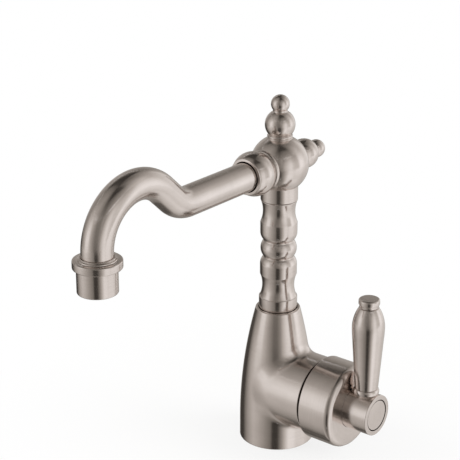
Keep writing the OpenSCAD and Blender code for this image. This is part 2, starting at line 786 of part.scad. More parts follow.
// Holes on a hexagonal grid that stay inside a circle of radius r
module hole_grid(r, pitch, hole, z, h) {
    rows = floor(r / pitch) + 1;
    for (i = [-rows:rows]) for (j = [-rows:rows]) {
        x = pitch * (i + j / 2);
        y = pitch * j * sin(60);
        if (norm([x, y]) < r - hole / 2 - 0.4)
            translate([x, y, z]) cylinder(d = hole, h = h, $fn = 6);
    }
}

module aerator_screen() {
    color(steel) at_nozzle() difference() {
        translate([0, 0, washer_z]) cylinder(r = screen_r, h = screen_t);
        hole_grid(screen_r, 2.1, 1.2, washer_z - 1, screen_t + 2);
    }
}

// Flow straightener that shows at the outlet
module aerator_insert() {
    lip_z = nozzle_z + aerator_lip_h;
    color(plastic) at_nozzle() difference() {
        union() {
            translate([0, 0, insert_z]) cylinder(r = insert_r, h = washer_z - insert_z);
            translate([0, 0, lip_z]) cylinder(r = aerator_bore_r - 0.15, h = washer_z - lip_z);
        }
        hole_grid(insert_r - 0.6, straightener_pitch, straightener_hole, insert_z - 1,
            washer_z - insert_z + 2);
    }
}

module aerator_housing() {
    lip_z = nozzle_z + aerator_lip_h;
    top = flange_z - 0.2;
    soft = 0.7;
    profile = concat(
        [[aerator_lip_r, nozzle_z + 0.3], [aerator_lip_r + 0.3, nozzle_z]],
        bow([aerator_r - soft, nozzle_z], [aerator_r, nozzle_z + soft], soft * 0.29, 4),
        [[aerator_r, top - 0.3], [aerator_r - 0.3, top], [aerator_bore_r, top],
            [aerator_bore_r, lip_z], [aerator_lip_r, lip_z]]);
    color(nickel) at_nozzle() rotate_extrude() polygon(profile);
}

// Carries the stem, turns with the handle and guides the disc's carrier
module cartridge_rotor() {
    slot_w = stem_w / 2 + 0.1;
    rail_y = carrier_flat + ball_gap;
    open_z = -(rotor_end_x - pivot_x) * tan(lift_max) - stem_w / 2 / cos(lift_max) - 0.9;
    arm_z = arm_len * tan(lift_max) + arm_r + 0.4;
    color(plastic) difference() {
        union() {
            along_x(rotor_x, rotor_flange_t, rotor_flange_r);
            along_x(rotor_x + rotor_flange_t - 1, rotor_end_x - rotor_x - rotor_flange_t + 1,
                rotor_r);
            intersection() {
                along_x(carrier_x + 0.4, carrier_t, rotor_flange_r);
                for (side = [-1, 1])
                    translate([carrier_x, side * (rail_y + rotor_r) - rotor_r, 0])
                        cube([carrier_t + 1, 2 * rotor_r, 2 * barrel_z]);
            }
        }
        // Slot for the stem, with room for its tilt
        translate([pivot_x, -slot_w, barrel_z + open_z])
            cube([rotor_end_x, 2 * slot_w, stem_w / 2 + free_gap - open_z]);
        translate([0, -slot_w, barrel_z - arm_r - free_gap])
            cube([pivot_x, 2 * slot_w, arm_r + free_gap + arm_z]);
        translate([pivot_x, -slot_w, barrel_z]) rotate([-90, 0, 0])
            cylinder(r = pivot_hub_r + 0.2, h = 2 * slot_w, $fn = 48);
        translate([pivot_x, -rotor_r - 1, barrel_z]) rotate([-90, 0, 0])
            cylinder(d = pin_d + 2 * seat_gap, h = 2 * rotor_r + 2, $fn = 48);
    }
}

module stem_pin() {
    half = rotor_r - 0.6;
    color(steel) translate([pivot_x, -half, barrel_z]) rotate([-90, 0, 0])
        cylinder(d = pin_d, h = 2 * half, $fn = 48);
}

// Upper ceramic disc, with the blind pocket that joins the ports when it slides
module sliding_disc() {
    z = barrel_z + sliding_rest;
    link_z = z + inlet_slot_z + inlet_slot_h / 2;
    color(ceramic) difference() {
        translate([sliding_x, 0, z]) rotate([0, 90, 0]) cylinder(r = sliding_r, h = disc_t);
        translate([sliding_x - 1, 0, z + pocket_rise]) rotate([0, 90, 0])
            cylinder(r = pocket_r, h = pocket_t + 1, $fn = 48);
        translate([sliding_x - 1, -inlet_slot_w / 2, z + inlet_slot_z])
            cube([pocket_t + 1, inlet_slot_w, inlet_slot_h]);
        translate([sliding_x - 1, -link_w / 2, link_z]) cube([pocket_t + 1, link_w, link_h]);
    }
}

module disc_carrier() {
    color(plastic) difference() {
        intersection() {
            translate([carrier_x, 0, barrel_z + sliding_rest]) rotate([0, 90, 0])
                cylinder(r = sliding_r, h = carrier_t);
            translate([carrier_x, -carrier_flat, 0])
                cube([carrier_t, 2 * carrier_flat, 2 * barrel_z]);
        }
        along_x(carrier_x + 0.3, carrier_t, ball_r + ball_gap);
    }
}

// Square stem on the pivot pin, with an arm and ball that push the carrier
module cartridge_stem() {
    half = stem_w / 2;
    color(brass) difference() {
        union() {
            translate([pivot_x + 3.5, -half, barrel_z - half])
                cube([stem_end_x - pivot_x - 3.5, stem_w, stem_w]);
            translate([pivot_x, -half, barrel_z]) rotate([-90, 0, 0])
                cylinder(r = pivot_hub_r, h = stem_w, $fn = 48);
            along_x(pivot_x - arm_len, arm_len, arm_r);
            translate([pivot_x - arm_len, 0, barrel_z]) sphere(r = ball_r, $fn = 48);
        }
        translate([pivot_x, -half - 1, barrel_z]) rotate([-90, 0, 0])
            cylinder(d = pin_d + 2 * run_gap, h = stem_w + 2, $fn = 48);
        along_x(stem_end_x - stem_bore_len, stem_bore_len + 1, stem_bore_d / 2);
    }
}

// Cap and hub in one piece
module handle_cap() {
    lip = 0.35;
    broach = stem_w + 2 * seat_gap;
    profile = concat([[0, cap_rim_x], [cap_r - lip, cap_rim_x], [cap_r, cap_rim_x + lip]],
        bow([cap_r, cap_face_x - cap_edge_r], [cap_r - cap_edge_r, cap_face_x],
            cap_edge_r * (1 - sqrt(0.5))),
        [[hub_r + 0.6, cap_face_x], [hub_r, cap_face_x + 0.6], [hub_r, hub_end_x - 0.4],
            [hub_r - 0.4, hub_end_x], [0, hub_end_x]]);
    color(nickel) difference() {
        translate([0, 0, barrel_z]) rotate([0, 90, 0]) rotate_extrude() polygon(profile);
        difference() {
            along_x(cap_rim_x - 1, cap_depth - cap_face_wall + 1, cap_bore_r);
            along_x(cap_face_x - cap_face_wall - hub_boss_len, cap_depth, hub_boss_r);
        }
        translate([0, -broach / 2, barrel_z - broach / 2])
            cube([stem_end_x + 0.1, broach, broach]);
        along_x(stem_end_x - 1, hub_len + cap_face_wall, stem_bore_d / 2 + 0.2);
        along_x(screw_seat_x, hub_len, screw_head_r + 1.1);
        along_x(hub_end_x - end_disc_t, end_disc_t + 1, end_disc_d / 2 + 0.1);
        translate([lever_x, 0, lever_stud_z]) cylinder(r = lever_stud_r + seat_gap, h = hub_r);
    }
}

module handle_screw() {
    len = screw_seat_x - stem_end_x + stem_bore_len - 1;
    color(steel) difference() {
        union() {
            along_x(screw_seat_x, screw_head_t, screw_head_r);
            along_x(screw_seat_x - len, len + 1, screw_d / 2);
        }
        translate([screw_seat_x + screw_head_t - 2.6, 0, barrel_z]) rotate([0, 90, 0])
            cylinder(d = 4.6, h = 4, $fn = 6);
    }
}

module hub_end_disc() {
    color(nickel) translate([0, 0, barrel_z]) rotate([0, 90, 0]) rotate_extrude()
        polygon([[0, hub_end_x - end_disc_t], [end_disc_d / 2 - 0.1, hub_end_x - end_disc_t],
            [end_disc_d / 2 - 0.1, hub_end_x - 0.3], [end_disc_d / 2 - 0.4, hub_end_x],
            [0, hub_end_x]]);
}

// Turning on the lever's axis
module turn_lever(points) {
    translate([lever_x, 0, 0]) rotate_extrude() polygon(points);
}

module lever_ferrule() {
    neck_r = grip_foot_d / 2 - 0.5;
    bead_z0 = ferrule_top_z - ferrule_h;
    color(nickel) difference() {
        turn_lever(concat(
            [[lever_stud_r + seat_gap, barrel_z + hub_r / 2], [neck_r, barrel_z + hub_r / 2],
                [neck_r, bead_z0]],
            bow([neck_r + 0.2, bead_z0], [neck_r + 0.2, ferrule_top_z],
                ferrule_d / 2 - neck_r - 0.2),
            [[lever_stud_r + seat_gap, ferrule_top_z]]));
        along_x(cap_face_x, hub_len + 1, hub_r + seat_gap);
    }
}

module lever_grip() {
    wide = [grip_d / 2, grip_wide_z];
    swell = [grip_d / 2 - 0.45, grip_wide_z - 7.5];
    neck = [button_d / 2 - 0.65, button_z];
    color(nickel) turn_lever(concat(
        [[lever_stud_r + seat_gap, ferrule_top_z], [grip_foot_d / 2, ferrule_top_z]],
        bow(swell, wide, 0.08, 4),
        bow(wide, neck, tangent_bow(wide, neck), 12),
        [[lever_stud_r + seat_gap, button_z]]));
}

module lever_button() {
    r = button_d / 2;
    neck_r = r - 0.65;
    color(nickel) difference() {
        turn_lever(concat([[0, button_z], [neck_r, button_z]],
            bow([neck_r, button_z + 0.2], [r, button_z + 2.4], -0.15, 4),
            bow([r, lever_top_z - 1.4], [r - 1.1, lever_top_z], 0.3, 4),
            [[0, lever_top_z]]));
        translate([lever_x, 0, button_z - 1])
            cylinder(r = lever_stud_r + seat_gap, h = lever_stud_top_z - button_z + 1.2);
    }
}

module lever_stud() {
    color(steel) translate([lever_x, 0, lever_stud_z + 0.2])
        cylinder(r = lever_stud_r, h = lever_stud_top_z - lever_stud_z - 0.2);
}

mixer_body();
base_gasket();
spout_bush_lower();
spout_bush_upper();
spout_lock_screw();
cartridge_base();
cartridge_seals();
fixed_disc();
cartridge_housing();
cartridge_nut();
turned_column();
spigot_o_rings();
ball_hub();
top_finial();
rear_finial();
spout_collar();
union_seal();
spout_tube();
nozzle_flange();
aerator_washer();
aerator_screen();
aerator_insert();
aerator_housing();
cartridge_rotor();
stem_pin();
sliding_disc();
disc_carrier();
cartridge_stem();
handle_cap();
handle_screw();
hub_end_disc();
lever_ferrule();
lever_grip();
lever_button();
lever_stud();
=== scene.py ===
# Basin mixer tap in satin brushed nickel: tapered body with a cartridge barrel, upright
# lever, turned column, ball hub with two finials and a swan-neck spout with an aerator.
# A piece is drawn in millimetres and turned to metres when it is finished.

import math

import bmesh
import bpy
import numpy as np
from mathutils import Matrix, Vector


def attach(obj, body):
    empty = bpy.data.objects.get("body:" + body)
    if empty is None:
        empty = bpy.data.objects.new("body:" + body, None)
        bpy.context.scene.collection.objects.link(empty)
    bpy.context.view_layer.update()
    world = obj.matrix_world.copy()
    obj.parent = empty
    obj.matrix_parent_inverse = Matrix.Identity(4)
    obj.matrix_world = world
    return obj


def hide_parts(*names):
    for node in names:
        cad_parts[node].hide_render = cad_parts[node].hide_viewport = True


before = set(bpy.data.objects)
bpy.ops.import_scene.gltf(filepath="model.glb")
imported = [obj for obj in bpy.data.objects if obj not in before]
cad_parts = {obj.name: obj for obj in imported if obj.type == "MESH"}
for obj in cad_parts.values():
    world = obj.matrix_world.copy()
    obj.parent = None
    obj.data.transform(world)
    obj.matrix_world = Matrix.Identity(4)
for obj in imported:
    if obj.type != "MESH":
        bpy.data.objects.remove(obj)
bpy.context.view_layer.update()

MM = 0.001

# Main lengths in millimetres. The solids have them too, apart from the rims, the root
# and the blends of the body, and the flange's shift back
FOOT_R = 25.0
FOOT_H = 14.0
BODY_H = 96.0
BODY_RIM = 1.8
BODY_CURVE_R = 322.47
BARREL_Z = 40.0
BARREL_R = 25.8
BARREL_END_X = 37.8
BARREL_RIM = 2.15
ROOT_START_X = -6.0
ROOT_NECK_X = 12.0
ROOT_DROP = 7.8
BLEND_TOP = 6.0
BLEND_BOTTOM = 3.2
HUB_Z = 194.8
HUB_R = 18.9
SPOUT_REACH = 170.0
FLANGE_BACK = 0.45
LEVER_X = 72.3

STEPS = 128


# Shapes


def arc(start, end, bow, steps=10):
    """Points on the arc from start to end that bows to the right of its way."""
    p, q = Vector(start), Vector(end)
    way = q - p
    chord = way.length
    radius = (chord * chord / 4 + bow * bow) / (2 * bow)
    side = Vector((way.y, -way.x)) / chord
    centre = (p + q) / 2 + side * (bow - radius)
    first = math.atan2(p.y - centre.y, p.x - centre.x)
    half = math.asin(max(-1, min(1, chord / 2 / radius)))
    return [
        (
            centre.x + abs(radius) * math.cos(first + 2 * half * i / steps),
            centre.y + abs(radius) * math.sin(first + 2 * half * i / steps),
        )
        for i in range(steps + 1)
    ]


def easing_bow(p, q):
    """Bow of an arc that leaves p along the axis and ends at q."""
    turn = math.atan2(abs(p[0] - q[0]), abs(q[1] - p[1]))
    return math.dist(p, q) / 2 * math.tan(turn / 2)


def ball_points(radius, centre, start, end, steps=16):
    """Outline of a ball on the axis between two angles above its equator, in degrees."""
    angles = [math.radians(start + (end - start) * i / steps) for i in range(steps + 1)]
    return [(radius * math.cos(a), centre + radius * math.sin(a)) for a in angles]


def profile(points):
    """A wire of (radius, distance along the axis), where a third value rounds a corner."""
    bm = bmesh.new()
    row = [bm.verts.new((p[0], 0, p[1])) for p in points]
    ends = [] if points[0][0] == 0 else [(row[-1], row[0])]
    for pair in list(zip(row, row[1:])) + ends:
        bm.edges.new(pair)
    offsets = {}
    for i, p in enumerate(points):
        if len(p) > 2:
            before = row[i].co - row[i - 1].co
            after = row[(i + 1) % len(row)].co - row[i].co
            offsets[row[i]] = p[2] * math.tan(before.angle(after) / 2)
    for corner, offset in offsets.items():
        bmesh.ops.bevel(
            bm, geom=[corner], offset=offset, offset_type="OFFSET", segments=4,
            profile=0.5, affect="VERTICES", material=-1,
        )
    return bm


LIE = {
    "Z": Matrix.Identity(4),
    "X": Matrix.Rotation(math.pi / 2, 4, "Y"),
    "-Y": Matrix.Rotation(math.pi / 2, 4, "X"),
    "Y": Matrix.Rotation(-math.pi / 2, 4, "X"),
}


def turned(points, axis="Z", centre=(0, 0, 0), steps=STEPS):
    """A lathe turning of a profile, closed on its axis or round a bore."""
    bm = profile(points)
    bmesh.ops.spin(
        bm, geom=bm.verts[:] + bm.edges[:], cent=(0, 0, 0), axis=(0, 0, 1),
        dvec=(0, 0, 0), angle=math.tau, steps=steps, use_merge=True, use_duplicate=False,
    )
    bmesh.ops.remove_doubles(bm, verts=bm.verts, dist=0.002)
    bmesh.ops.transform(bm, matrix=Matrix.Translation(centre) @ LIE[axis], verts=bm.verts)
    return bm


def ring_edges(made):
    """The edges of a new ring, out of what an extrusion made."""
    verts = {g for g in made if isinstance(g, bmesh.types.BMVert)}
    edges = [
        g for g in made
        if isinstance(g, bmesh.types.BMEdge) and g.verts[0] in verts and g.verts[1] in verts
    ]
    return list(verts), edges


def place_ring(verts, origin, axis, radius, along):
    """Puts a rim's points on a circle round an axis."""
    for v in verts:
        spoke = v.co - origin
        spoke -= axis * spoke.dot(axis)
        v.co = origin + axis * along + spoke.normalized() * radius


def draw_rim(bm, edges, origin, axis, rings):
    """Draws a round rim on through rings of (radius, distance along the axis) and
    closes the last one."""
    origin, axis = Vector(origin), Vector(axis)
    verts = list({v for e in edges for v in e.verts})
    place_ring(verts, origin, axis, *rings[0])
    for radius, along in rings[1:]:
        verts, edges = ring_edges(bmesh.ops.extrude_edge_only(bm, edges=edges)["geom"])
        place_ring(verts, origin, axis, radius, along)
    bmesh.ops.edgeloop_fill(bm, edges=edges)


def cut_off(bm, at, normal):
    """Cuts away what lies beyond a plane and returns the edges of the cut."""
    cut = bmesh.ops.bisect_plane(
        bm, geom=bm.verts[:] + bm.edges[:] + bm.faces[:], dist=1e-5, plane_co=at,
        plane_no=normal, use_snap_center=False, clear_outer=True, clear_inner=False,
    )
    edges = [g for g in cut["geom_cut"] if isinstance(g, bmesh.types.BMEdge)]
    bmesh.ops.remove_doubles(
        bm, verts=list({v for e in edges for v in e.verts}), dist=0.12
    )
    return [e for e in bm.edges if e.is_boundary and all(
        abs((v.co - Vector(at)).dot(Vector(normal))) < 1e-3 for v in e.verts)]


def as_mesh(name, bm):
    mesh = bpy.data.meshes.new(name)
    bm.to_mesh(mesh)
    bm.free()
    return mesh


def with_modifier(bm, kind, **settings):
    """The mesh that a modifier makes of this one."""
    carrier = bpy.data.objects.new("workpiece", as_mesh("workpiece", bm))
    bpy.context.collection.objects.link(carrier)
    modifier = carrier.modifiers.new(kind.lower(), kind)
    for key, value in settings.items():
        setattr(modifier, key, value)
    ready = carrier.evaluated_get(bpy.context.evaluated_depsgraph_get())
    made = bmesh.new()
    made.from_mesh(ready.to_mesh())
    bpy.data.objects.remove(carrier)
    return made


def drilled(bm, holes):
    """Takes round holes of (start, axis, length, radius) out of a mesh."""
    drills = bmesh.new()
    for start, axis, length, radius in holes:
        turn = Vector(axis).to_track_quat("Z", "Y").to_matrix().to_4x4()
        middle = Vector(start) + Vector(axis) * length / 2
        bmesh.ops.create_cone(
            drills, cap_ends=True, segments=48, radius1=radius, radius2=radius,
            depth=length, matrix=Matrix.Translation(middle) @ turn,
        )
    cutter = bpy.data.objects.new("drills", as_mesh("drills", drills))
    bpy.context.collection.objects.link(cutter)
    made = with_modifier(
        bm, "BOOLEAN", object=cutter, operation="DIFFERENCE", solver="EXACT"
    )
    bpy.data.objects.remove(cutter)
    return made


def finished(name, bm, body, material, *nodes, shaded_joint=None, slot="nickel"):
    """Makes the drawn mesh a piece that rides on a body and stands for its solid. The faces
    that the joint mask picks by their middle are where the plating doesn't reach; they get bare
    brass darkened as painted shade."""
    bmesh.ops.recalc_face_normals(bm, faces=bm.faces)
    for face in bm.faces:
        if shaded_joint and shaded_joint(face.calc_center_median()):
            face.material_index = 1
    bmesh.ops.scale(bm, vec=(MM, MM, MM), verts=bm.verts)
    for face in bm.faces:
        face.smooth = True
    piece = bpy.data.objects.new(name, as_mesh(name, bm))
    bpy.context.collection.objects.link(piece)
    piece.data.materials.append(material)
    if shaded_joint:
        piece.data.materials.append(brass_with_joint_shade)
    # Flats keep their own normals and the small roundings take up the turn
    weighted = piece.modifiers.new("weighted normals", "WEIGHTED_NORMAL")
    weighted.keep_sharp = True
    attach(piece, body)
    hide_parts(*nodes)


# Finishes


def linear(colour):
    """Linear colour of an sRGB hex value."""
    parts = [int(colour[i:i + 2], 16) / 255 for i in (1, 3, 5)]
    return [c / 12.92 if c <= 0.04045 else ((c + 0.055) / 1.055) ** 2.4 for c in parts] + [1]


def add(tree, kind, inputs=None, **settings):
    """Adds a node with its settings; an input is a value or another node's output."""
    made = tree.nodes.new("ShaderNode" + kind)
    for key, value in settings.items():
        setattr(made, key, value)
    for key, value in (inputs or {}).items():
        if isinstance(value, bpy.types.NodeSocket):
            tree.links.new(value, made.inputs[key])
        else:
            made.inputs[key].default_value = value
    return made


def new_finish(name):
    finish = bpy.data.materials.new(name)
    finish.use_nodes = True
    finish.node_tree.nodes.clear()
    return finish, finish.node_tree


def brushed_nickel(name, axis, centre):
    """Nickel plate brushed round an axis with an abrasive web: a broad, soft highlight
    with faint rings. The real scratches are about 0.05 mm wide; they are drawn 0.45 mm
    wide, the finest that shows."""
    finish, tree = new_finish(name)
    place = add(tree, "TexCoord").outputs["Object"]
    turn = LIE[axis].inverted().to_euler()
    shift = -(LIE[axis].inverted() @ Vector(centre)) * MM
    local = add(tree, "Mapping", {"Vector": place, "Rotation": turn, "Location": shift})
    apart = add(tree, "SeparateXYZ", {0: local.outputs[0]})
    flat = add(tree, "CombineXYZ", {0: apart.outputs[0], 1: apart.outputs[1]})
    spoke = add(tree, "VectorMath", {0: flat.outputs[0]}, operation="LENGTH")
    heading = add(tree, "VectorMath", {0: flat.outputs[0]}, operation="NORMALIZE")
    across = 1 / (0.45 * MM)
    rings = add(
        tree, "CombineXYZ",
        {0: add(tree, "Math", {0: spoke.outputs["Value"], 1: across},
                operation="MULTIPLY").outputs[0],
         2: add(tree, "Math", {0: apart.outputs[2], 1: across},
                operation="MULTIPLY").outputs[0]},
    )
    breaks = add(tree, "VectorMath", {0: heading.outputs[0], 1: (1.6, 1.6, 0)},
                 operation="MULTIPLY")
    lines = add(tree, "VectorMath", {0: rings.outputs[0], 1: breaks.outputs[0]},
                operation="ADD")
    scratch = add(tree, "TexNoise", {"Vector": lines.outputs[0], "Scale": 1.0,
                                     "Detail": 3.0, "Roughness": 0.6})
    cloud = add(tree, "TexNoise", {"Vector": place, "Scale": 1 / (14 * MM),
                                   "Detail": 2.0, "Roughness": 0.5})
    both = add(tree, "Math", {0: scratch.outputs["Fac"], 1: cloud.outputs["Fac"]},
               operation="ADD")
    tone = add(tree, "Math", {0: both.outputs[0], 1: 0.5}, operation="MULTIPLY")
    share = add(tree, "MapRange", {"Value": tone.outputs[0], "From Min": 0.32,
                                   "From Max": 0.68})
    colour = add(tree, "Mix", {0: share.outputs[0], 6: linear("#dcd3ce"),
                               7: linear("#e8dfda")}, data_type="RGBA")
    rough = add(tree, "MapRange", {"Value": tone.outputs[0], "From Min": 0.3,
                                   "From Max": 0.7, "To Min": 0.15, "To Max": 0.19})
    bump = add(tree, "Bump", {"Height": scratch.outputs["Fac"], "Strength": 0.12,
                              "Distance": 0.03 * MM})
    # The scratches run round the axis, so a highlight is drawn out along it
    round_axis = add(tree, "VectorMath", {0: LIE[axis].to_3x3() @ Vector((0, 0, 1)),
                                          1: add(tree, "VectorMath", {
                                              0: place, 1: Vector(centre) * MM},
                                              operation="SUBTRACT").outputs[0]},
                     operation="CROSS_PRODUCT")
    way = add(tree, "VectorTransform", {0: round_axis.outputs[0]}, vector_type="VECTOR",
              convert_from="OBJECT", convert_to="WORLD")
    metal = add(tree, "BsdfPrincipled", {
        "Base Color": colour.outputs[2], "Metallic": 1.0, "Roughness": rough.outputs[0],
        "Anisotropic": 0.5, "Anisotropic Rotation": 0.25, "Tangent": way.outputs[0],
        "Normal": bump.outputs[0]})
    add(tree, "OutputMaterial", {"Surface": metal.outputs[0]})
    return finish


def moulded(name, low, high, roughness, grain_mm, relief_mm, metallic=0.0, ior=1.5):
    """A moulded or cast finish: two close tones and a fine relief of one grain size."""
    finish, tree = new_finish(name)
    place = add(tree, "TexCoord").outputs["Object"]
    grain = add(tree, "TexNoise", {"Vector": place, "Scale": 1 / (grain_mm * MM),
                                   "Detail": 4.0, "Roughness": 0.55})
    broad = add(tree, "TexNoise", {"Vector": place, "Scale": 1 / (grain_mm * 12 * MM),
                                   "Detail": 2.0})
    mixed = add(tree, "Math", {0: grain.outputs["Fac"], 1: broad.outputs["Fac"]},
                operation="ADD")
    half = add(tree, "Math", {0: mixed.outputs[0], 1: 0.5}, operation="MULTIPLY")
    share = add(tree, "MapRange", {"Value": half.outputs[0], "From Min": 0.35,
                                   "From Max": 0.65})
    colour = add(tree, "Mix", {0: share.outputs[0], 6: linear(low), 7: linear(high)},
                 data_type="RGBA")
    rough = add(tree, "MapRange", {
        "Value": grain.outputs["Fac"], "From Min": 0.3, "From Max": 0.7,
        "To Min": roughness - 0.05, "To Max": roughness + 0.05})
    bump = add(tree, "Bump", {"Height": grain.outputs["Fac"], "Strength": 0.3,
                              "Distance": relief_mm * MM})
    shader = add(tree, "BsdfPrincipled", {
        "Base Color": colour.outputs[2], "Metallic": metallic, "Roughness": rough.outputs[0],
        "Normal": bump.outputs[0]})
    if not metallic:
        shader.inputs["IOR"].default_value = ior
    add(tree, "OutputMaterial", {"Surface": shader.outputs[0]})
    return finish


nickel_upright = brushed_nickel("satin brushed nickel, turned upright", "Z", (0, 0, 0))
nickel_spout = brushed_nickel("satin brushed nickel, turned along the spout", "-Y",
                              (0, 0, HUB_Z))
nickel_barrel = brushed_nickel("satin brushed nickel, turned along the barrel", "X",
                               (0, 0, BARREL_Z))
nickel_nozzle = brushed_nickel("satin brushed nickel, turned on the nozzle", "Z",
                               (0, -SPOUT_REACH, 0))
nickel_lever = brushed_nickel("satin brushed nickel, turned on the lever", "Z",
                              (LEVER_X, 0, 0))

# Bare brass in the joints, where no plating reaches, darkened to brown-black as painted shade
# for the gaps where no light gets in
brass_with_joint_shade = moulded("bare brass with painted joint shade", "#3f3630", "#51463f", 0.5, 0.5,
                     0.01, metallic=1.0)
# EPDM rubber, moulded: black, dull, faintly grainy
rubber = moulded("EPDM rubber", "#191919", "#262626", 0.6, 0.8, 0.02)
# Acetal, moulded: an even off-white with a soft sheen
acetal = moulded("acetal", "#dcdad2", "#e8e6de", 0.38, 0.6, 0.01, ior=1.48)
# Sintered alumina, lapped: almost white and very smooth
alumina = moulded("lapped alumina ceramic", "#e6e4de", "#f1efea", 0.16, 0.4, 0.002, ior=1.76)
# Turned brass: yellow metal with fine tool marks
brass = moulded("turned brass", "#b8974c", "#cdaf66", 0.3, 0.5, 0.01, metallic=1.0)
# Stainless steel, machined: a cool grey metal
steel = moulded("machined stainless steel", "#9a9c9c", "#b2b3b2", 0.28, 0.5, 0.01, metallic=1.0)

INNER_FINISHES = {
    "base_gasket": rubber, "cartridge_seals": rubber, "spigot_o_rings": rubber,
    "union_seal": rubber, "aerator_washer": rubber,
    "spout_bush_lower": acetal, "spout_bush_upper": acetal, "cartridge_base": acetal,
    "cartridge_housing": acetal, "cartridge_rotor": acetal, "disc_carrier": acetal,
    "aerator_insert": acetal,
    "fixed_disc": alumina, "sliding_disc": alumina,
    "cartridge_nut": brass, "cartridge_stem": brass,
    "spout_lock_screw": steel, "aerator_screen": steel, "stem_pin": steel,
    "handle_screw": steel, "lever_stud": steel,
}
for node, finish in INNER_FINISHES.items():
    for material_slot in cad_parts[node].material_slots:
        material_slot.material = finish


# Body: a cast cone and barrel that run into each other with a soft blend


def body_radius(z):
    rise = np.clip(z - FOOT_H, 0, None)
    return FOOT_R - BODY_CURVE_R + np.sqrt(BODY_CURVE_R ** 2 - rise ** 2)


def root_radius(x):
    share = np.clip((ROOT_NECK_X - x) / (ROOT_NECK_X - ROOT_START_X), 0, None)
    return BARREL_R - ROOT_DROP * share ** 2.5


def outside_body(p):
    """Distance of points outside the blended skin of cone and barrel."""
    reach = np.hypot(p[:, 1], p[:, 2] - BARREL_Z)
    barrel = reach - root_radius(p[:, 0])
    cone = np.hypot(p[:, 0], p[:, 1]) - body_radius(p[:, 2])
    height = (p[:, 2] - BARREL_Z) / np.maximum(reach, 1e-6)
    width = BLEND_BOTTOM + (BLEND_TOP - BLEND_BOTTOM) * ((1 + height) / 2) ** 5
    shared = np.clip(width - np.abs(barrel - cone), 0, None) / width
    return np.minimum(barrel, cone) - shared ** 2 * width / 4


def settle(bm, rounds=4):
    """Draws every point onto the blended skin along its slope."""
    points = np.array([v.co[:] for v in bm.verts])
    tip = 0.01
    for _ in range(rounds):
        value = outside_body(points)
        slope = np.stack([
            (outside_body(points + shift) - outside_body(points - shift)) / (2 * tip)
            for shift in np.eye(3) * tip
        ], axis=1)
        points -= slope * (value / np.maximum((slope ** 2).sum(axis=1), 1e-6))[:, None]
    for v, p in zip(bm.verts, points):
        v.co = p


def mixer_body():
    heights = [-3 + 102 * i / 24 for i in range(25)]
    cone = [(float(body_radius(np.array(z))), z) for z in heights]
    roots = [ROOT_START_X + (44 - ROOT_START_X) * i / 16 for i in range(17)]
    barrel = [(float(root_radius(np.array(x))), x) for x in roots]
    bm = turned([(0, heights[0])] + cone + [(0, heights[-1])])
    bar = turned([(0, roots[0])] + barrel + [(0, roots[-1])], "X", (0, 0, BARREL_Z))
    bar_mesh = as_mesh("barrel", bar)
    bm.from_mesh(bar_mesh)
    bpy.data.meshes.remove(bar_mesh)
    bmesh.ops.recalc_face_normals(bm, faces=bm.faces)
    bm = with_modifier(bm, "REMESH", mode="VOXEL", voxel_size=0.85, adaptivity=0.0)
    for _ in range(3):
        settle(bm)
        bmesh.ops.smooth_vert(bm, verts=bm.verts, factor=0.5, use_axis_x=True,
                              use_axis_y=True, use_axis_z=True)
    settle(bm)
    foot = cut_off(bm, (0, 0, 0.5), (0, 0, -1))
    top = cut_off(bm, (0, 0, BODY_H - BODY_RIM), (0, 0, 1))
    end = cut_off(bm, (BARREL_END_X - BARREL_RIM, 0, BARREL_Z), (1, 0, 0))
    # Foot with its gasket groove and the recess for the hoses
    draw_rim(bm, foot, (0, 0, 0), (0, 0, 1), [
        (25, 0.5), (24.93, 0.25), (24.75, 0.07), (24.5, 0), (23.71, 0), (23.71, 1.6),
        (21.79, 1.6), (21.79, 0), (20.7, 0), (20.5, 0.2), (20.5, 9), (1, 9)])
    # Socket of the column, down to the waterway
    draw_rim(bm, top, (0, 0, 0), (0, 0, 1), [
        (14.82, 94.28), (14.7, 94.53), (14.46, 94.68), (14.15, 94.75), (13.1, 94.75),
        (12.95, 94.6), (12.95, 90.8), (11.3, 90.8), (11.3, 64), (6, 64), (6, 62)])
    # Mouth of the barrel, stepped for the shadow gap to the cap, and the cartridge's chamber
    draw_rim(bm, end, (0, 0, BARREL_Z), (1, 0, 0), [
        (25.8, 35.65), (25.75, 35.83), (25.62, 35.95), (25.45, 36.0), (24.2, 36.0),
        (24.2, 37.6), (24.0, 37.8), (21.95, 37.8), (21.75, 37.6), (21.75, 29.83),
        (19.95, 29.83), (19.95, 10), (1, 10)])
    # Hose threads, the fixing stud's hole and the hole of the locking screw
    return drilled(bm, [
        ((2, -8.5, 8), (0, 0, 1), 13, 4.5), ((2, 8.5, 8), (0, 0, 1), 13, 4.5),
        ((-13, 0, 8), (0, 0, 1), 21, 4), ((0, 10.5, 82.6), (0, 1, 0), 15, 2.55)])


# The barrel's shadow gap and the column's socket get bare brass darkened as painted shade
finished("mixer_body_casting", mixer_body(), "body", nickel_upright, "mixer_body",
         shaded_joint=lambda p: p.x > 35.97 and math.hypot(p.y, p.z - BARREL_Z) < 25.5
         or p.z > 89 and math.hypot(p.x, p.y) < 13.1)


# Column, from its spigot up to the tenon in the hub


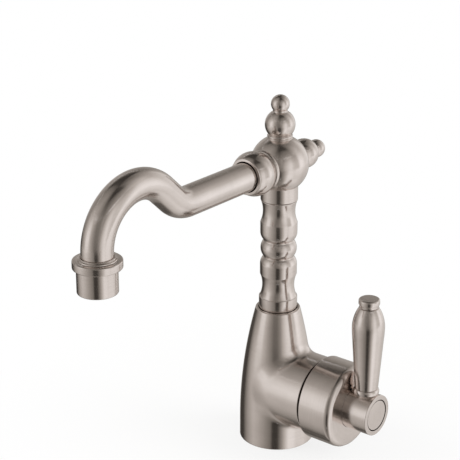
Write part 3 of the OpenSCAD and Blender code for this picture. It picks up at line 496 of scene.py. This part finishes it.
def turned_column():
    grooves = [
        (10, 71.95), (8.9, 71.95), (8.9, 74.65), (10, 74.65),
        (10, 76.25), (8.9, 76.25), (8.9, 78.95), (10, 78.95),
        (10, 80.9), (8.8, 80.9), (8.8, 84.3), (10, 84.3),
    ]
    lower_neck, upper_neck = (12.15, 125.6), (12.15, 148.2)
    lower_groove, upper_groove = (9.7, 131.2), (9.7, 142.6)
    return turned(
        [(7, 64.3), (10, 64.3, 0.4)] + grooves + [(10, 92.1), (12.7, 92.1),
         (12.7, 103, 0.35)]
        + arc((12.2, 103), (12.15, 119), -1.6, 14)
        + arc(lower_neck, lower_groove, easing_bow(lower_neck, lower_groove), 10)
        + arc(lower_groove, upper_groove, 2.2, 16)
        + arc(upper_groove, upper_neck, easing_bow(upper_groove, upper_neck), 10)
        + arc((12.15, 154.8), (12.15, 170.7), -1.6, 14)
        + [(9.4, 170.75), (9.4, 178.8, 0.3), (7, 178.8)])


finished("turned_column_baluster", turned_column(), "spout", nickel_upright,
         "turned_column")


# Ball hub


def joint(ball_r, neck_r, soft, steps=5):
    """Rings of the soft corner between a ball and a round neck on it."""
    across = neck_r + soft
    along = math.sqrt((ball_r + soft) ** 2 - across ** 2)
    first = math.atan2(-along, -across)
    last = -math.pi
    return [
        (across + soft * math.cos(a), along + soft * math.sin(a))
        for a in [first + (last - first) * i / steps for i in range(steps + 1)]
    ]


def ball_hub():
    bm = bmesh.new()
    bmesh.ops.create_uvsphere(bm, u_segments=144, v_segments=96, radius=HUB_R)
    socket = joint(HUB_R, 12.15, 0.7)
    boss = joint(HUB_R, 11.35, 0.2)
    low = cut_off(bm, (0, 0, -socket[0][1]), (0, 0, -1))
    front = cut_off(bm, (0, -boss[0][1], 0), (0, -1, 0))
    draw_rim(bm, low, (0, 0, 0), (0, 0, -1), socket + [
        (12.15, 23.8), (12.1, 23.95), (11.95, 24), (9.45, 24), (9.45, 16), (7, 16),
        (7, 10)])
    draw_rim(bm, front, (0, 0, 0), (0, -1, 0), boss
             + arc((12.1, 16.15), (12.15, 19.25), 0.9, 10)
             + [(11.75, 19.3), (11.75, 19.7), (11, 19.7), (11, 26.6), (10.6, 27), (8, 27),
                (8, 12)])
    bmesh.ops.translate(bm, vec=(0, 0, HUB_Z), verts=bm.verts)
    return bm


# The boss's front end under the collar and the socket's bore get bare brass darkened as painted
# shade
finished("ball_hub_casting", ball_hub(), "spout", nickel_upright, "ball_hub",
         shaded_joint=lambda p: p.y < -19.6 or math.hypot(p.x, p.y) < 11.5 and p.z < HUB_Z - 15)


# Finials


def finial(axis):
    bead_r, ball_r = 9.8, 6.0
    bead_start = -math.degrees(math.acos(7.1 / bead_r))
    bead_end = math.degrees(math.acos(4.8 / bead_r))
    ball_start = -math.degrees(math.acos(4.8 / ball_r))
    return turned(
        [(0, 13), (3.5, 13, 0.4), (3.5, 17.4), (7.9, 16.6)]
        + arc((8.0, 16.9), (7.75, 17.85), 0.3, 6)
        + arc((7.85, 17.95), (7.75, 19.5), 0.45, 8)
        + ball_points(bead_r, 26.155, bead_start, bead_end, 28)
        + arc((4.75, 34.75), (4.75, 35.9), -0.12, 4)
        + ball_points(ball_r, 39.6, ball_start, 90, 22), axis, (0, 0, HUB_Z))


finished("top_finial_turning", finial("Z"), "spout", nickel_upright, "top_finial")
finished("rear_finial_turning", finial("Y"), "spout", nickel_spout, "rear_finial")


# Spout


def spout_collar():
    return turned(
        [(11.05, 19.75)] + arc((12.15, 19.75), (11.75, 34.5), 2.45, 22)
        + [(11.5, 34.7, 0.1), (11.75, 35.0, 0.15), (11.75, 35.5, 0.25), (10.05, 35.7, 0.25),
           (10.05, 31.0), (9.55, 31.0), (9.55, 30.2), (11.05, 30.2)],
        "-Y", (0, 0, HUB_Z))


# The collar's bore round the tube gets bare brass darkened as painted shade
finished("spout_collar_turning", spout_collar(), "spout", nickel_spout, "spout_collar",
         shaded_joint=lambda p: math.hypot(p.x, p.z - HUB_Z) < 11.1 and p.y > -34.4)

# Tube and centre line: how far out the bends lie, the dip's radius, the rise's slope and
# length, the arch's centre and how much tighter it ends
TUBE_R = 9.5
TUBE_WALL = 1.5
TUBE_START = 28.2
DIP_S, DIP_R = 91.15, 21.6
RISE = math.radians(42.7)
RISE_LEN = 12.0
ARCH_S, ARCH_Z = 137.0, 184.41
ARCH_TIGHTER = 1.7
TUBE_END_Z = 178.21


def spout_tube():
    """A tube drawn on from its union: straight, dip, rise, arch and drop."""
    bm = bmesh.new()
    bmesh.ops.create_circle(
        bm, cap_ends=False, segments=72, radius=TUBE_R,
        matrix=Matrix.Translation((0, -TUBE_START, HUB_Z)) @ LIE["-Y"])
    edges = bm.edges[:]

    def straight(way, steps):
        nonlocal edges
        for _ in range(steps):
            verts, edges = ring_edges(bmesh.ops.extrude_edge_only(bm, edges=edges)["geom"])
            bmesh.ops.translate(bm, vec=Vector(way) / steps, verts=verts)

    def bend(centre, angle, steps):
        nonlocal edges
        verts = list({v for e in edges for v in e.verts})
        last = bmesh.ops.spin(
            bm, geom=verts + edges, cent=centre, axis=(1, 0, 0), dvec=(0, 0, 0),
            angle=angle, steps=steps, use_merge=False, use_duplicate=False)["geom_last"]
        edges = [g for g in last if isinstance(g, bmesh.types.BMEdge)]

    straight((0, TUBE_START - DIP_S, 0), 8)
    bend((0, -DIP_S, HUB_Z + DIP_R), -RISE, 16)
    straight((0, -RISE_LEN * math.cos(RISE), RISE_LEN * math.sin(RISE)), 3)
    bend((0, -ARCH_S, ARCH_Z), RISE + math.pi / 4, 30)
    # The drop tightens a little before it turns straight down
    tighter = ARCH_TIGHTER * math.sqrt(0.5)
    bend((0, -ARCH_S - tighter, ARCH_Z + tighter), math.pi / 4, 16)
    straight((0, 0, TUBE_END_Z - ARCH_Z - tighter), 2)
    bmesh.ops.remove_doubles(bm, verts=bm.verts, dist=0.01)
    bmesh.ops.recalc_face_normals(bm, faces=bm.faces)
    bmesh.ops.solidify(bm, geom=bm.faces[:], thickness=TUBE_WALL)
    return bm


finished("spout_tube_bent", spout_tube(), "spout", nickel_spout, "spout_tube")


# Nozzle


def nozzle_flange():
    return turned([
        (8.5, 168.31), (10.6, 168.31, 0.3), (10.6, 177.0), (14.65, 177.0, 0.9),
        (14.65, 182.1, 0.8), (11.6, 182.1), (11.6, 183.0, 0.45), (10.7, 183.05),
        (10.35, 183.75, 0.25), (9.6, 183.75), (9.6, 178.21), (8.5, 178.21)],
        "Z", (0, FLANGE_BACK - SPOUT_REACH, 0))


def aerator_housing():
    return turned([
        (9.25, 162.11, 0.3), (12.1, 162.11, 0.75), (12.1, 176.8, 0.2), (10.65, 176.8),
        (10.65, 163.91), (9.25, 163.91)], "Z", (0, -SPOUT_REACH, 0))


finished("nozzle_flange_turning", nozzle_flange(), "spout", nickel_nozzle,
         "nozzle_flange")
finished("aerator_housing_turning", aerator_housing(), "spout", nickel_nozzle,
         "aerator_housing")


# Handle


def handle_cap():
    return turned([
        (0, 77.6), (10.6, 77.6), (10.6, 81.2, 0.1), (13.6, 81.2, 0.4), (13.6, 62.85, 0.05),
        (13.42, 62.85), (13.42, 62.5), (13.75, 62.5), (13.75, 62.7, 0.05),
        (28.0, 62.7, 4.4), (28.0, 38.3, 0.7), (26.2, 38.3, 0.3), (26.2, 59.7, 1.0),
        (8.8, 59.7), (8.8, 51.5), (0, 51.5)], "X", (0, 0, BARREL_Z), 160)


def hub_end_disc():
    return turned([(0, 77.65), (9.95, 77.65), (9.95, 80.95, 0.15), (0, 81)],
                  "X", (0, 0, BARREL_Z))


def lever_ferrule():
    return turned(
        [(3.05, 51.5), (7.25, 51.5), (7.25, 53.0)]
        + arc((7.45, 53.0), (7.45, 57.8), 1.0, 12) + [(3.05, 57.8)],
        "Z", (LEVER_X, 0, 0))


def lever_grip():
    swell, wide, neck = (10.1, 92.5), (10.55, 100.0), (6.2, 114.4)
    return turned(
        [(3.05, 57.85), (7.6, 57.85, 0.25)] + arc(swell, wide, 0.08, 6)
        + arc(wide, neck, easing_bow(wide, neck), 18)[1:] + [(3.05, 114.4)],
        "Z", (LEVER_X, 0, 0))


def lever_button():
    return turned(
        [(0, 114.4), (6.2, 114.45)] + arc((6.2, 114.6), (6.85, 116.8), -0.15, 6)
        + [(6.85, 120, 1.2), (0, 120)], "Z", (LEVER_X, 0, 0))


def in_handle_joint(p):
    """Within the cap, in the ring at the hub's foot or round the end disc: the faces that get
    the painted joint shade.
    """
    reach = math.hypot(p.y, p.z - BARREL_Z)
    return (p.x < 59.8 and reach < 26.3 or p.x < 62.52 and 13.4 < reach < 13.77
            or 77 < p.x < 81.05 and 9.95 < reach < 10.65)


# The cap's hollow, the groove at the hub's foot and the ring round the end disc get bare brass
# darkened as painted shade
finished("handle_cap_casting", handle_cap(), "handle", nickel_barrel, "handle_cap",
         shaded_joint=in_handle_joint)
finished("hub_end_disc_plain", hub_end_disc(), "handle", nickel_barrel, "hub_end_disc",
         shaded_joint=in_handle_joint)
finished("lever_ferrule_turning", lever_ferrule(), "handle", nickel_lever, "lever_ferrule")
finished("lever_grip_turning", lever_grip(), "handle", nickel_lever, "lever_grip")
finished("lever_button_turning", lever_button(), "handle", nickel_lever, "lever_button")


# Camera, at the photograph's angle


def look_at(thing, place, target):
    thing.location = place
    way = Vector(target) - Vector(place)
    thing.rotation_euler = way.to_track_quat("-Z", "Y").to_euler()


scene = bpy.context.scene
camera = bpy.data.objects.new("camera", bpy.data.cameras.new("camera"))
camera.data.lens = 119.85
camera.data.sensor_width = 36
bpy.context.collection.objects.link(camera)
look_at(camera, (0.5614, -0.7442, 0.5089), (-0.04088, -0.00011, 0.13894))
scene.camera = camera


# Floor, world and lamps


def plain_floor():
    """A pale table that the eye sees white, but for the object's soft shadow."""
    bm = bmesh.new()
    bmesh.ops.create_grid(bm, x_segments=1, y_segments=1, size=4)
    floor = bpy.data.objects.new("floor", as_mesh("floor", bm))
    bpy.context.collection.objects.link(floor)
    floor.location.z = -0.0002
    finish, tree = new_finish("pale studio floor")
    matt = add(tree, "BsdfDiffuse", {"Color": linear("#f2f1ef")})
    white = add(tree, "Emission", {"Color": (1, 1, 1, 1), "Strength": 1.0})
    place = add(tree, "TexCoord").outputs["Object"]
    reach = add(tree, "VectorMath", {0: place}, operation="LENGTH")
    whiter = add(tree, "MapRange", {"Value": reach.outputs["Value"], "From Min": 0.04,
                                    "From Max": 0.22, "To Min": 0.8, "To Max": 1.0})
    seen = add(tree, "MixShader", {"Fac": whiter.outputs[0], 1: matt.outputs[0],
                                   2: white.outputs[0]})
    path = add(tree, "LightPath")
    share = add(tree, "Math", {0: path.outputs["Is Camera Ray"],
                               1: path.outputs["Is Transmission Ray"]}, operation="MAXIMUM")
    add(tree, "OutputMaterial", {"Surface": add(tree, "MixShader", {
        "Fac": share.outputs[0], 1: matt.outputs[0], 2: seen.outputs[0]}).outputs[0]})
    floor.data.materials.append(finish)
    # In the metal's reflections the low cards stand for the floor
    floor.visible_glossy = False


def studio_world():
    world = bpy.data.worlds.new("studio")
    world.use_nodes = True
    tree = world.node_tree
    tree.nodes.clear()
    path = add(tree, "LightPath")
    seen = add(tree, "Math", {0: path.outputs["Is Camera Ray"],
                              1: path.outputs["Is Glossy Ray"]}, operation="MAXIMUM")
    seen = add(tree, "Math", {0: seen.outputs[0],
                              1: path.outputs["Is Transmission Ray"]}, operation="MAXIMUM")
    strength = add(tree, "MapRange", {"Value": seen.outputs[0], "To Min": 0.55,
                                      "To Max": 1.0})
    shade = add(tree, "Background", {"Color": (1, 1, 1, 1), "Strength": strength.outputs[0]})
    add(tree, "OutputWorld", {"Surface": shade.outputs[0]})
    scene.world = world


def softbox(name, place, target, size, power):
    lamp = bpy.data.lights.new(name, "AREA")
    lamp.shape = "RECTANGLE"
    lamp.size, lamp.size_y = size
    lamp.energy = power
    box = bpy.data.objects.new(name, lamp)
    bpy.context.collection.objects.link(box)
    box.visible_glossy = False
    look_at(box, place, target)


def studio_card(name, columns, rows, reach=2.4):
    """A card bent round the tap that only the metal's reflections show, as in a product
    studio: columns of (azimuth, brightness) and rows of (elevation, share)."""
    bm = bmesh.new()
    bmesh.ops.create_grid(bm, x_segments=len(columns) - 1, y_segments=len(rows) - 1, size=0.5)
    level = bm.verts.layers.float.new("level")
    for v in bm.verts:
        azimuth, brightness = columns[round((v.co.x + 0.5) * (len(columns) - 1))]
        elevation, share = rows[round((v.co.y + 0.5) * (len(rows) - 1))]
        turn, rise = math.radians(azimuth), math.radians(elevation)
        v.co = (reach * math.cos(rise) * math.sin(turn),
                -reach * math.cos(rise) * math.cos(turn), 0.12 + reach * math.sin(rise))
        v[level] = brightness * share
    card = bpy.data.objects.new(name, as_mesh(name, bm))
    bpy.context.collection.objects.link(card)
    finish, tree = new_finish(name)
    graded = add(tree, "Attribute", attribute_name="level").outputs["Fac"]
    warmth = add(tree, "Mix", {0: graded, 6: (1, 0.92, 0.82, 1), 7: (1, 1, 1, 1)},
                 data_type="RGBA")
    glow = add(tree, "Emission", {"Color": warmth.outputs[2], "Strength": graded})
    add(tree, "OutputMaterial", {"Surface": glow.outputs[0]})
    card.data.materials.append(finish)
    for way in ("camera", "diffuse", "transmission", "shadow", "volume_scatter"):
        setattr(card, "visible_" + way, False)


plain_floor()
studio_world()
softbox("left softbox", (-1.0, -0.9, 0.9), (0, 0, 0.12), (0.9, 1.2), 14)
softbox("right softbox", (1.1, 0.5, 0.8), (0, 0, 0.12), (0.8, 1.2), 12)

# Levels and angles were set against the photo's reflections, then rounded to
# twentieths and to five degrees
WALL_ROWS = [(-10, 1), (5, 1), (20, 0.85), (35, 0.5)]
studio_card("black card at the camera", [(20, 0.15), (25, 0.05), (40, 0.05), (50, 0.25)],
            [(-45, 1.5), (-35, 1), (-15, 1), (-10, 2)])
studio_card("grey card under the camera", [(20, 0.2), (50, 0.35)],
            [(-90, 1), (-60, 0.9), (-45, 0.5)])
studio_card("grey card low in front", [(-20, 0.5), (0, 0.35), (20, 0.2)],
            [(-90, 0.8), (-50, 0.85), (-25, 1), (-10, 1.2)])
studio_card("grey card low on the left",
            [(-90, 0.05), (-80, 0.2), (-65, 0.4), (-40, 0.6), (-20, 0.5)],
            [(-90, 0.8), (-50, 0.8), (-25, 1), (-10, 1.3)])
studio_card("black card behind on the left",
            [(-125, 0.2), (-115, 0.05), (-95, 0.05), (-90, 0.05)],
            [(-45, 1), (-35, 1), (-10, 1.5)])
studio_card("grey card low on the far left",
            [(-125, 0.2), (-115, 0.1), (-105, 0.1), (-90, 0.25)], [(-90, 1), (-45, 0.9)])
studio_card("grey card low behind", [(-170, 0.5), (-155, 0.35), (-125, 0.25)],
            [(-90, 0.8), (-50, 0.85), (-35, 1), (-10, 1.4)])
studio_card("bright card low on the right",
            [(50, 0.25), (65, 0.65), (75, 0.95), (90, 0.95), (100, 0.85)],
            [(-90, 0.6), (-65, 0.85), (-35, 1), (-10, 0.9)])
studio_card("pale card low behind on the right",
            [(100, 0.85), (130, 0.85), (150, 0.7), (190, 0.6)],
            [(-90, 0.6), (-50, 1), (-35, 0.9), (-10, 1.15)])

studio_card("window at the left", [(-50, 0.65), (-40, 0.9), (-25, 0.9), (-15, 0.6)],
            [(-10, 0.9), (5, 1), (20, 0.9), (35, 0.6)])
studio_card("grey wall in front", [(-15, 0.6), (0, 0.4), (20, 0.2)], [(-10, 1), (35, 0.85)])
studio_card("dark wall at the camera", [(20, 0.2), (35, 0.2), (50, 0.35)],
            [(-10, 0.8), (5, 1), (35, 1.2)])
studio_card("grey wall by the right edge",
            [(50, 0.35), (60, 0.6), (75, 0.85), (85, 0.9), (90, 0.75)], WALL_ROWS)
studio_card("pale wall at the right",
            [(90, 0.75), (100, 0.65), (115, 0.65), (125, 1.05), (140, 1), (155, 0.8),
             (190, 0.9)], [(-10, 1), (5, 1), (20, 0.85), (35, 0.6)])
studio_card("grey wall at the left", [(-105, 0.4), (-90, 0.3), (-80, 0.3), (-50, 0.65)],
            [(-10, 0.7), (5, 1), (20, 1), (35, 0.8)])
studio_card("grey wall behind",
            [(-170, 0.65), (-155, 0.4), (-140, 0.35), (-120, 0.5), (-105, 0.4)], WALL_ROWS)

studio_card("grey ceiling at the left",
            [(-170, 0.35), (-150, 0.2), (-95, 0.2), (-60, 0.4), (-30, 0.5), (10, 0.3)],
            [(35, 1), (50, 0.8), (65, 0.65), (90, 0.15)])
studio_card("grey ceiling at the right",
            [(10, 0.3), (35, 0.2), (50, 0.3), (100, 0.4), (120, 0.6), (140, 0.7), (155, 0.55),
             (190, 0.4)], [(35, 1), (50, 0.7), (65, 0.4), (90, 0.15)])
studio_card("black strip over the left", [(-160, 0.05), (-90, 0.05)], [(45, 1), (90, 1)], 2.3)
studio_card("black strip over the right", [(25, 0.05), (105, 0.05)], [(60, 1), (90, 1)], 2.3)

scene.view_settings.view_transform = "Standard"
